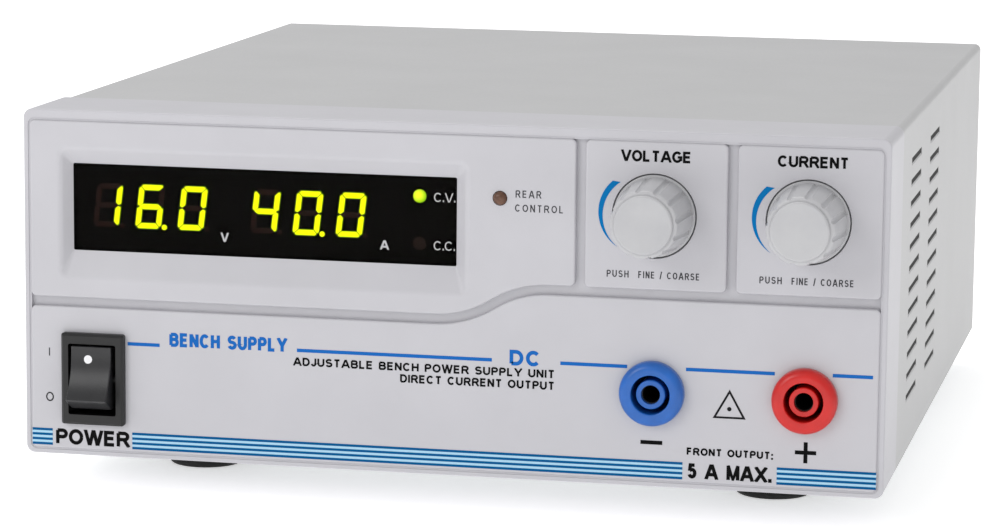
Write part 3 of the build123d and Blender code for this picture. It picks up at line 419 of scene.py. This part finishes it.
# Strokes of each plain capital in a box one high; the first value is the letter's width.
BOWL = oval(0.5, 0.5, 0.5, 0.5, 0, 360, 28)
OPEN_BOWL = oval(0.5, 0.5, 0.5, 0.5, 42, 318, 24)
LETTERS = {
    "A": (1.00, [(-0.07, -0.17), (0.5, 1.19)], [(1.07, -0.17), (0.5, 1.19)], [(0.17, 0.27), (0.83, 0.27)]),
    "B": (0.83, [(0, 0), (0, 1)], [(0, 1)] + oval(0.58, 0.77, 0.36, 0.23, 90, -90) + [(0, 0.54)],
          [(0, 0.54)] + oval(0.62, 0.27, 0.38, 0.27, 90, -90) + [(0, 0)]),
    "C": (0.92, OPEN_BOWL),
    "D": (0.85, [(0, 0), (0, 1)] + oval(0.45, 0.5, 0.55, 0.5, 90, -90, 18) + [(0, 0)]),
    "E": (0.74, [(1, 1), (0, 1), (0, 0), (1, 0)], [(0, 0.52), (0.92, 0.52)]),
    "F": (0.66, [(1, 1), (0, 1), (0, -0.1)], [(0, 0.5), (0.88, 0.5)]),
    "G": (0.96, oval(0.5, 0.5, 0.5, 0.5, 42, 330, 26), [(1, 0.08), (1, 0.48), (0.56, 0.48)]),
    "H": (0.80, [(0, -0.1), (0, 1.1)], [(1, -0.1), (1, 1.1)], [(0, 0.52), (1, 0.52)]),
    "I": (0.0, [(0, -0.1), (0, 1.1)]),
    "J": (0.56, [(1, 1.1), (1, 0.3)] + oval(0.5, 0.3, 0.5, 0.3, 0, -170)),
    "L": (0.66, [(0, 1.1), (0, 0), (1, 0)]),
    "M": (0.98, [(0, -0.1), (0, 1.1)], [(1, -0.1), (1, 1.1)], [(-0.03, 1.14), (0.5, -0.06), (1.03, 1.14)]),
    "N": (0.79, [(0, -0.1), (0, 1.1)], [(1, -0.1), (1, 1.1)], [(0, 1.06), (1, -0.06)]),
    "O": (0.98, BOWL),
    "P": (0.75, [(0, -0.1), (0, 1)], [(0, 1)] + oval(0.58, 0.73, 0.42, 0.27, 90, -90) + [(0, 0.46)]),
    "R": (0.86, [(0, -0.1), (0, 1)], [(0, 1)] + oval(0.58, 0.74, 0.38, 0.26, 90, -90) + [(0, 0.48)],
          [(0.56, 0.5), (1.08, -0.14)]),
    "S": (0.80, oval(0.5, 0.75, 0.46, 0.25, 25, 250, 16)[:-1] + oval(0.5, 0.26, 0.5, 0.26, 80, -160, 18)),
    "T": (0.80, [(0, 1), (1, 1)], [(0.5, 1), (0.5, -0.1)]),
    "U": (0.81, [(0, 1.1), (0, 0.36)] + oval(0.5, 0.36, 0.5, 0.36, 180, 360, 16) + [(1, 1.1)]),
    "V": (0.95, [(-0.06, 1.17), (0.5, -0.17)], [(1.06, 1.17), (0.5, -0.17)]),
    "W": (1.38, [(-0.03, 1.17), (0.25, -0.17)], [(0.5, 1.17), (0.25, -0.17)], [(0.5, 1.17), (0.75, -0.17)],
          [(1.03, 1.17), (0.75, -0.17)]),
    "X": (0.93, [(-0.1, -0.14), (1.1, 1.14)], [(-0.1, 1.14), (1.1, -0.14)]),
    "Y": (0.92, [(-0.08, 1.15), (0.5, 0.42)], [(1.08, 1.15), (0.5, 0.42)], [(0.5, 0.5), (0.5, -0.1)]),
    "5": (0.58, [(0.95, 1), (0.2, 1), (0.08, 0.5)],
          [(0.08, 0.52)] + oval(0.5, 0.31, 0.5, 0.31, 130, -160, 20)),
    "/": (0.36, [(-0.05, -0.15), (1.05, 1.15)]),
    ".": (0.0, [(0, -0.2), (0, 0.17)]),
    ":": (0.0, [(0, -0.2), (0, 0.12)], [(0, 0.5), (0, 0.8)]),
    " ": (0.3,),
}


def placed(name, corners, faces, depth):
    """A mesh on the front; its corners are (x, z, how far it stands out from depth)."""
    mesh = bpy.data.meshes.new(name)
    mesh.from_pydata([spot(x, z, depth - lift) for x, z, lift in corners], [], faces)
    piece = bpy.data.objects.new(name, mesh)
    bpy.context.collection.objects.link(piece)
    return piece


LAYER = 0.004                # crossing strokes of a letter lie this much over each other, mm
SHARPEST = 0.45              # limit on how far a stroke's corner reaches out


def stroke_faces(points, weight, lift, corners, faces):
    """Adds a band of even weight along a line of points to lists of corners and faces; lift is its layer."""
    half = weight / 2
    path = [Vector(p) for p in points]
    sides = []
    for k, place in enumerate(path):
        before = (place - path[k - 1]).normalized() if k else (path[1] - place).normalized()
        after = (path[k + 1] - place).normalized() if k + 1 < len(path) else before
        along = (before + after).normalized()
        across = Vector((-along.y, along.x))
        reach = half / max(across.dot(Vector((-before.y, before.x))), SHARPEST)
        sides.append((place + across * reach, place - across * reach))
    first = len(corners)
    for left, right in sides:
        corners += [(left.x, left.y, lift), (right.x, right.y, lift)]
    for k in range(first, first + 2 * len(sides) - 2, 2):
        faces.append((k, k + 1, k + 3, k + 2))


def words(text, x0, x1, base, cap, weight, spacing=0.24, depth=-INK):
    """Printed capitals from x0 to x1; weight is the stroke in mm, spacing the gap in cap heights."""
    inner = cap - weight
    width = sum(LETTERS[c][0] for c in text) * inner + (len(text) - 1) * spacing * cap + len(text) * weight
    stretch = (x1 - x0 - len(text) * weight) / (width - len(text) * weight)
    corners, faces = [], []
    pen = x0
    for letter in text:
        wide = LETTERS[letter][0] * inner * stretch
        for layer, line in enumerate(LETTERS[letter][1:]):
            spots = [(pen + weight / 2 + u * wide, base + weight / 2 + v * inner) for u, v in line]
            stroke_faces(spots, weight, LAYER * layer, corners, faces)
        pen += wide + weight + spacing * cap * stretch
    line = placed("words", corners, faces, depth)
    trim(line, base, base + cap)
    thicken(line)
    return line


def trim(piece, low, high):
    """Cuts off what stands below and above two heights."""
    alone(piece)
    bpy.ops.object.mode_set(mode="EDIT")
    for height, side in ((low, -1), (high, 1)):
        bpy.ops.mesh.select_all(action="SELECT")
        bpy.ops.mesh.bisect(plane_co=spot(0, height), plane_no=(0, 0, side), clear_outer=True)
    bpy.ops.object.mode_set(mode="OBJECT")


def thicken(piece, thick=FILM):
    """Gives flat printing its thickness, towards the panel behind it."""
    alone(piece)
    bpy.ops.object.mode_set(mode="EDIT")
    bpy.ops.mesh.select_all(action="SELECT")
    bpy.ops.mesh.extrude_region_move(TRANSFORM_OT_translate={"value": (0, thick * MM, 0)})
    bpy.ops.mesh.select_all(action="SELECT")
    bpy.ops.mesh.normals_make_consistent(inside=False)
    bpy.ops.object.mode_set(mode="OBJECT")


def flat_shape(outline, depth=-INK, thick=FILM):
    """A flat closed shape on the front from (x, z) corners given anticlockwise."""
    bpy.ops.object.select_all(action="DESELECT")
    bpy.ops.mesh.primitive_circle_add(vertices=len(outline), fill_type="NGON")
    piece = bpy.context.object
    for corner, (x, z) in zip(piece.data.vertices, outline):
        corner.co = spot(x, z, depth + thick)
    bpy.ops.object.mode_set(mode="EDIT")
    bpy.ops.mesh.select_all(action="SELECT")
    bpy.ops.mesh.extrude_region_move(TRANSFORM_OT_translate={"value": (0, -thick * MM, 0)})
    bpy.ops.mesh.select_all(action="SELECT")
    bpy.ops.mesh.normals_make_consistent(inside=False)
    bpy.ops.object.mode_set(mode="OBJECT")
    return piece


def band(outer, inner, depth=-INK):
    """A flat closed band between two outlines of as many points."""
    count = len(outer)
    ring = [(k, (k + 1) % count, count + (k + 1) % count, count + k) for k in range(count)]
    piece = placed("band", [(x, z, 0.0) for x, z in outer + inner], ring, depth)
    thicken(piece)
    return piece


def disc(x, z, radius, depth=-INK, thick=FILM):
    """A round flat shape on the front."""
    return flat_shape(oval(x, z, radius, radius, 0, 337.5, 15), depth, thick)


# ---------------------------------------------------------------- printing on the front
GREY_SHIFT = 34.6            # from the legend under one knob to that under the other


def print_front():
    """Black and grey legends, and the signs of the two sockets."""
    black = [
        words("VOLTAGE", 40.0, 55.9, 73.5, 2.6, 0.58, 0.06),
        words("CURRENT", 75.25, 91.1, 73.5, 2.6, 0.58, 0.08),
        words("POWER", -93.1, -75.1, 1.95, 3.7, 0.84, 0.06),
        words("5 A MAX.", 56.25, 75.4, 1.95, 3.5, 0.8, 0.08),
        words("FRONT OUTPUT:", 56.0, 75.6, 7.3, 1.75, 0.42, 0.12),
        words("ADJUSTABLE BENCH POWER SUPPLY UNIT", -35.75, 25.5, 23.3, 1.95, 0.44, 0.13),
        words("DIRECT CURRENT OUTPUT", -10.5, 25.5, 20.6, 1.95, 0.44, 0.13),
        bar(45.4, 50.4, 9.3, 10.2),          # minus
        bar(80.5, 85.3, 8.8, 9.7),           # plus: across, below and above
        bar(82.45, 83.35, 6.85, 8.8),
        bar(82.45, 83.35, 9.7, 11.65),
    ]
    settle(join(black), "black_legends", "black_ink", "case")
    grey = []
    for x in (0.0, GREY_SHIFT):
        grey.append(words("PUSH", 37.1 + x, 42.1 + x, 47.2, 1.55, 0.24, 0.34))
        grey.append(words("FINE / COARSE", 44.3 + x, 58.2 + x, 47.2, 1.55, 0.24, 0.34))
    grey.append(words("REAR", 16.0, 21.9, 64.3, 1.65, 0.24, 0.42))
    grey.append(words("CONTROL", 15.9, 27.0, 61.1, 1.65, 0.24, 0.42))
    grey.append(bar(-94.65, -94.4, 22.8, 24.7))      # the upright stroke of the on mark, beside the switch
    settle(join(grey), "grey_legends", "grey_ink", "case")


STRIPE_PITCH, STRIPE_MIDDLE = 1.125, 3.6
STRIPE_RUNS = ((-98.85, -93.9), (-74.5, 55.1), (76.5, 98.85))
DARK_HALF, PALE_HALF = 0.29, 0.27            # half the height of a stripe
LINE_RUNS = ((-75.5, -67.75, 26.1), (-34.9, 10.9, 26.5), (26.75, 42.1, 26.5), (55.5, 75.6, 26.5),
             (88.6, 97.6, 26.7))             # from x, to x, lower edge
LINE_HEIGHT = 0.8


def stripes(places, half):
    """Bars across each run, at places counted in stripes from the middle one."""
    bars = []
    for x0, x1 in STRIPE_RUNS:
        for k in places:
            z = STRIPE_MIDDLE + k * STRIPE_PITCH
            bars.append(bar(x0, x1, z - half, z + half))
    return bars


def print_bands():
    """Striped band along the foot of the front, and the broken blue line with its words."""
    dark = join(stripes((-1.5, -0.5, 0.5, 1.5), DARK_HALF))
    settle(dark, "dark_stripes", "deep_blue_ink", "case")
    pale = join(stripes((-1, 0, 1), PALE_HALF))
    settle(pale, "pale_stripes", "pale_blue_ink", "case")
    lines = [bar(x0, x1, z, z + LINE_HEIGHT) for x0, x1, z in LINE_RUNS]
    lines.append(words("BENCH SUPPLY", -65.4, -37.2, 26.3, 3.3, 0.78, 0.1))
    lines.append(words("DC", 15.0, 22.2, 25.85, 3.6, 0.86, 0.16))
    settle(join(lines), "blue_lines", "line_blue_ink", "case")


# ---------------------------------------------------------------- display window
DIGIT_HEIGHT, DIGIT_WIDTH, STROKE, LEAN = 10.2, 6.2, 1.25, radians(7.0)
DIGIT_Z = 58.2               # middle of the digits
CHAMFER = 0.75               # outer corners of the numerals are cut off
CUT = 0.13                   # half the dark line between neighbouring segments
GLOW = 0.24                  # how far the halo reaches past a lit segment
SEGMENTS = "abcdefg"         # top, upper right, lower right, bottom, lower left, upper left, middle
NUMERALS = {"0": "abcdef", "1": "bc", "4": "bcfg", "6": "acdefg"}
READINGS = [(-81.3, "1"), (-71.1, "6"), (-60.9, "0"), (-43.5, "4"), (-33.4, "0"), (-23.2, "0")]
POINT_LIT = (1, 4)           # digits with their decimal point lit
POINT_RIGHT, POINT_DOWN, POINT_RADIUS = 3.35, 4.7, 0.62      # the point, from the digit's middle
MASK_X, MASK_Z = (-90.6, 3.3), (46.2, 69.4)


def segment_outline(x, letter, swell=0.0):
    """Corners of one mitred segment of a leaning seven-segment numeral; swell widens it all round."""
    # w and h are half the numeral, s a stroke, c the cut at a mitre, m half a stroke,
    # e the swell of the long edges and k the cut-off corner
    w, h, s = DIGIT_WIDTH / 2, DIGIT_HEIGHT / 2, STROKE
    c, m, e, k = CUT - swell, STROKE / 2, swell, CHAMFER
    if letter in "ad":
        left = [(-w + k + c, h + e), (-w + k / 2 + c, h - k / 2 + e), (-w + s + c, h - s - e)]
        shape = left + [(-a, b) for a, b in reversed(left)]
    elif letter == "g":
        shape = [(-w + m / 2 + c, 0), (-w + s + c, -m - e), (w - s - c, -m - e), (w - m / 2 - c, 0),
                 (w - s - c, m + e), (-w + s + c, m + e)]
    else:
        shape = [(w + e, h - k - c), (w - k / 2 + e, h - k / 2 - c), (w - s - e, h - s - c),
                 (w - s - e, m + c), (w - m, c), (w + e, m / 2 + c)]
    if letter in "ef":
        shape = [(-a, b) for a, b in shape]
    if letter in "cde":
        shape = [(a, -b) for a, b in shape]
    return [(x + a + b * tan(LEAN), DIGIT_Z + b) for a, b in shape]


def build_digits():
    """Six numerals and their points: lit segments with a faint halo, and the dark ones between."""
    lit, halo, unlit = [], [], []
    for place, (x, numeral) in enumerate(READINGS):
        for letter in SEGMENTS:
            on = letter in NUMERALS[numeral]
            (lit if on else unlit).append(flat_shape(segment_outline(x, letter), LIT_DEPTH, 0.1))
            if on:
                halo.append(flat_shape(segment_outline(x, letter, GLOW), DISPLAY_DEPTH - 0.02, 0.05))
        point = disc(x + POINT_RIGHT, DIGIT_Z - POINT_DOWN, POINT_RADIUS, LIT_DEPTH, 0.1)
        (lit if place in POINT_LIT else unlit).append(point)
    settle(join(lit), "lit_segments", "lit_segment", "case")
    settle(join(halo), "segment_halo", "segment_glow", "case")
    settle(join(unlit), "unlit_segments", "unlit_segment", "case")


def build_mask():
    """Black sheet behind the window; it hides the modules and the lamps' stems."""
    sheet = bar(*MASK_X, *MASK_Z, DISPLAY_DEPTH + 0.05, 0.1)
    settle(sheet, "display_mask", "black_film_and_vent_shade", "case")


def print_display():
    """White letters on the face of the pane, and the two status lamps behind it."""
    place = PANE_DEPTH - FILM
    white = [
        words("V", -53.75, -51.9, 50.95, 2.1, 0.42, depth=place),
        words("A", -15.95, -13.95, 50.75, 2.1, 0.42, depth=place),
        words("C.V.", -3.45, 1.5, 62.2, 2.1, 0.26, 0.12, depth=place),
        words("C.C.", -3.45, 1.5, 51.1, 2.1, 0.26, 0.12, depth=place),
    ]
    settle(join(white), "display_legends", "dim_white_ink", "case")
    lit = disc(LAMP_X, 63.2, LAMP_RADIUS, LIT_DEPTH, 0.1)
    settle(lit, "lit_lamp_face", "lit_lamp", "case")
    dark = disc(LAMP_X, 52.3, LAMP_RADIUS, LIT_DEPTH, 0.1)
    settle(dark, "dark_lamp_face", "unlit_lamp", "case")


# ---------------------------------------------------------------- printing on the rear panel
REAR_CAP, REAR_LETTER = 2.0, 1.02            # height of the legends, half a letter's share of the width
REAR_LEGENDS = (("OUTPUT", "terminal_base", 1.6), ("REMOTE", "remote_shell", 1.4),
                ("AC INPUT", "inlet_body", -1.6), ("V", "voltage_trimmer", 1.8),
                ("A", "current_trimmer", 1.8))       # words, part, gap above it or, if negative, below


def print_rear():
    """Legends on the rear panel, each centred on its part; laid out on the front, then turned round."""
    lines = []
    for text, name, gap in REAR_LEGENDS:
        low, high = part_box(name)
        middle = -(low[0] + high[0]) / 2 / MM
        half = len(text) * REAR_LETTER
        base = (high[2] - BASE_Z) / MM + gap if gap > 0 else (low[2] - BASE_Z) / MM + gap - REAR_CAP
        lines.append(words(text, middle - half, middle + half, base, REAR_CAP, 0.4, 0.16))
    for name, upright in (("positive_terminal_cap", True), ("negative_terminal_cap", False)):
        low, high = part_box(name)
        x = -(low[0] + high[0]) / 2 / MM
        z = (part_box("terminal_base")[0][2] - BASE_Z) / MM - 2.8
        lines.append(bar(x - 1.4, x + 1.4, z - 0.25, z + 0.25))
        if upright:
            lines.append(bar(x - 0.25, x + 0.25, z + 0.25, z + 1.4))
            lines.append(bar(x - 0.25, x + 0.25, z - 1.4, z - 0.25))
    legend = join(lines)
    middle = (0, (FACE_Y + REAR_Y) / 2, 0)
    bpy.ops.transform.rotate(value=pi, orient_axis="Z", center_override=middle)
    settle(legend, "rear_legends", "black_ink", "case")


# ---------------------------------------------------------------- painted shade in the vents and round the knobs
SLIT_ROWS, SLIT_PITCH, SLIT_TOP, SLIT_OPEN = 12, 5.12, 70.3, 1.85
SLIT_LENGTH, SLIT_STARTS = 22.0, (48.6, 91.6)
SLIT_X = 99.8                # inner face of the black painted-shade strips in the slits
TONGUE = 0.5                 # the lowest part of each slit, where its tongue shows
SHADE_RING_OUTER, SHADE_RING_INNER, SHADE_RING_DEPTH = 9.8, 9.36, 0.9


def shade_vents():
    """Black strips in the cover's slits, above each tongue: painted shade for the dark inside of the case.
    """
    strips = []
    for side in (-1, 1):
        x0, x1 = sorted((side * SLIT_X, side * (SLIT_X + 0.1)))
        for start in SLIT_STARTS:
            for row in range(SLIT_ROWS):
                top = SLIT_TOP - row * SLIT_PITCH
                strips.append(bar(x0, x1, top - SLIT_OPEN + TONGUE, top, start, SLIT_LENGTH))
    # black strips painted as the shade inside the slits
    settle(join(strips), "vent_shade", "black_film_and_vent_shade", "case")


def shade_knob_gaps():
    """Mid-grey rings in the gap round each knob, a little behind the panels: painted shade for the gap."""
    rings = []
    for node_name in ("voltage_knob", "current_knob"):
        low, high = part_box(node_name)
        x = (low[0] + high[0]) / 2 / MM
        z = ((low[2] + high[2]) / 2 - BASE_Z) / MM
        outer = oval(x, z, SHADE_RING_OUTER, SHADE_RING_OUTER, 0, 352.5, 47)
        rings.append(band(outer, oval(x, z, SHADE_RING_INNER, SHADE_RING_INNER, 0, 352.5, 47), SHADE_RING_DEPTH))
    # grey rings painted as the shade in the gaps round the knobs
    settle(join(rings), "knob_gap_shade", "grey_gap_shade", "case")


# ---------------------------------------------------------------- marks on the front
def print_marks():
    """Blue crescents beside the knobs, the ring beside the switch and the triangle between the sockets."""
    settle(join([crescent(x, KNOB_Z) for x in KNOB_X]), "knob_crescents", "knob_blue_ink", "case")
    ring = band(oval(-94.5, 13.1, 0.95, 1.1, 0, 350, 35), oval(-94.5, 13.1, 0.65, 0.8, 0, 350, 35))
    outer = [(61.75, 16.1), (69.25, 16.1), (65.5, 22.75)]
    inner = [(62.55, 16.55), (68.45, 16.55), (65.5, 21.8)]
    marks = [ring, band(outer, inner), disc(65.5, 18.3, 0.5)]
    settle(join(marks), "front_marks", "dark_grey_ink", "case")


def arc_through(first, middle, last, steps):
    """Points on the circle through three points, from the first to the last."""
    (ax, az), (bx, bz), (cx, cz) = first, middle, last
    d = 2 * (ax * (bz - cz) + bx * (cz - az) + cx * (az - bz))
    squares = [ax * ax + az * az, bx * bx + bz * bz, cx * cx + cz * cz]
    x = (squares[0] * (bz - cz) + squares[1] * (cz - az) + squares[2] * (az - bz)) / d
    z = (squares[0] * (cx - bx) + squares[1] * (ax - cx) + squares[2] * (bx - ax)) / d
    start, end = Vector((ax - x, az - z)), Vector((cx - x, cz - z))
    turn = start.angle_signed(end)
    points = []
    for k in range(steps + 1):
        a = -turn * k / steps
        points.append((x + start.x * cos(a) - start.y * sin(a), z + start.x * sin(a) + start.y * cos(a)))
    return points


def crescent(x, z):
    """Printed arc beside a knob, wide at the top and tapering to a point below."""
    outer = arc_through((x - 9.5, z + 7.7), (x - 12.7, z + 0.5), (x - 8.3, z - 7.25), 28)
    inner = arc_through((x - 7.7, z + 7.45), (x - 11.7, z + 0.5), (x - 8.3, z - 7.25), 28)
    return flat_shape(outer + inner[-2::-1])


# middle and radius of the dot, seen from the front
DOT_X, DOT_Z, DOT_RADIUS = -84.25, 22.85, 0.98


def paint_rocker_dot():
    """White dot on the upper half of the rocker, laid on its hollow face."""
    bpy.ops.object.select_all(action="DESELECT")
    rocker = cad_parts["power_rocker"]
    bpy.ops.mesh.primitive_circle_add(vertices=32, fill_type="NGON")
    dot = bpy.context.object
    for corner in dot.data.vertices:
        start = spot(DOT_X + DOT_RADIUS * corner.co.x, DOT_Z + DOT_RADIUS * corner.co.y, -30)
        _, place, normal, _ = rocker.ray_cast(start, Vector((0, 1, 0)))
        corner.co = place + normal * INK * MM
    settle(dot, "rocker_dot", "white_ink", "rocker")


make_case_materials()
make_control_materials()
make_metals()
make_inner_materials()
make_inks()
make_lamp_materials()
make_floor_material()
finish_cad_nodes()
aim_camera()
light_studio()
lay_floor()
print_front()
print_bands()
print_marks()
build_mask()
build_digits()
print_display()
paint_rocker_dot()
print_rear()
shade_vents()
shade_knob_gaps()
